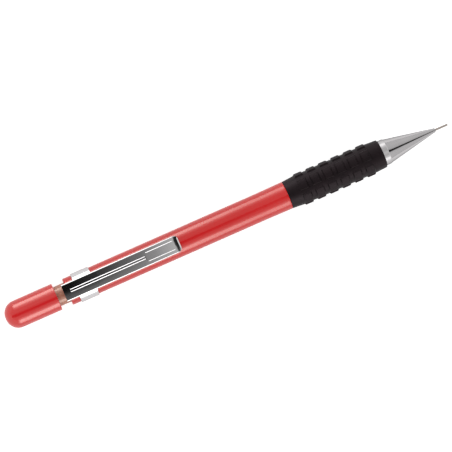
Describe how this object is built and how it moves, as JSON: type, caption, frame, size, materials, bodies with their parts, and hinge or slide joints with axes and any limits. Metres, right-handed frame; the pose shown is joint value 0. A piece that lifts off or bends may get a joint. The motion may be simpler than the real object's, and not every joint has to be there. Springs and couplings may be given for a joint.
{
  "type": "lead holder",
  "caption": "Round push-cap drafting lead holder with a pocket clip, padded rubber grip, screw-on metal cone and a fixed lead sleeve.",
  "frame": {"origin": "centre of the writing end of the lead sleeve, on the pencil's axis", "axes": "+X runs along the pencil from the writing end to the cap, +Z points out of the barrel through the pocket clip, +Y across the clip"},
  "size_m": [0.144, 0.0098, 0.0111],
  "materials": {
    "red_plastic": "polished moulded red plastic",
    "grip_rubber": "matt black moulded rubber",
    "clip_steel": "bright pressed spring steel, nickel plated",
    "cone_metal": "turned and plated metal",
    "sleeve_steel": "drawn stainless tube",
    "tan_plastic": "translucent tan plastic",
    "brass": "turned brass",
    "ring_brass": "turned brass",
    "black_plastic": "moulded plastic",
    "joint_plastic": "moulded plastic",
    "spring_steel": "drawn spring wire",
    "retainer_rubber": "soft rubber",
    "graphite": "graphite lead",
    "eraser_rubber": "white eraser rubber",
    "ferrule_metal": "thin drawn metal",
    "needle_steel": "steel wire"
  },
  "bodies": {
    "pencil_body": {"barrel": "red_plastic", "pocket_clip": "clip_steel", "rubber_grip": "grip_rubber", "front_bush": "brass", "mechanism_sleeve": "black_plastic", "return_spring": "spring_steel"},
    "plunger": {"chuck": "brass", "tube_joint": "joint_plastic", "lead_tube": "tan_plastic", "spare_lead_1": "graphite", "spare_lead_2": "graphite", "spare_lead_3": "graphite"},
    "lead_clutch": {"chuck_ring": "ring_brass", "writing_lead": "graphite"},
    "push_cap": {"cap": "red_plastic"},
    "eraser_plug": {"eraser": "eraser_rubber", "eraser_ferrule": "ferrule_metal", "cleaning_needle": "needle_steel"},
    "retainer": {"lead_retainer": "retainer_rubber"},
    "tip": {"tip_cone": "cone_metal", "lead_sleeve": "sleeve_steel"}
  },
  "joints": [
    {"name": "cap_push", "type": "slide", "parent": "pencil_body", "child": "plunger", "axis": [-1, 0, 0], "range_m": [0, 0.0026], "stiffness_N_per_m": 1200, "springref_m": -0.003, "deforming": ["return_spring"]},
    {"name": "lead_feed", "type": "slide", "parent": "pencil_body", "child": "lead_clutch", "axis": [-1, 0, 0], "range_m": [0, 0.00061]},
    {"name": "cap_pull", "type": "slide", "parent": "plunger", "child": "push_cap", "axis": [1, 0, 0], "range_m": [0, 0.045]},
    {"name": "eraser_pull", "type": "slide", "parent": "plunger", "child": "eraser_plug", "axis": [1, 0, 0], "range_m": [0, 0.0203]},
    {"name": "tip_travel", "type": "slide", "parent": "pencil_body", "child": "retainer", "axis": [-1, 0, 0], "range_m": [0, 0.006]},
    {"name": "tip_turn", "type": "hinge", "parent": "retainer", "child": "tip", "pos_m": [0, 0, 0], "axis": [-1, 0, 0], "range_deg": [0, 2881]}
  ],
  "couplings": [
    {"joint": "lead_feed", "follows": "cap_push", "ratio": 0.23077},
    {"joint": "eraser_pull", "follows": "cap_pull", "ratio": 0.45},
    {"joint": "tip_turn", "follows": "tip_travel", "rad_per_m": 8377.6}
  ]
}
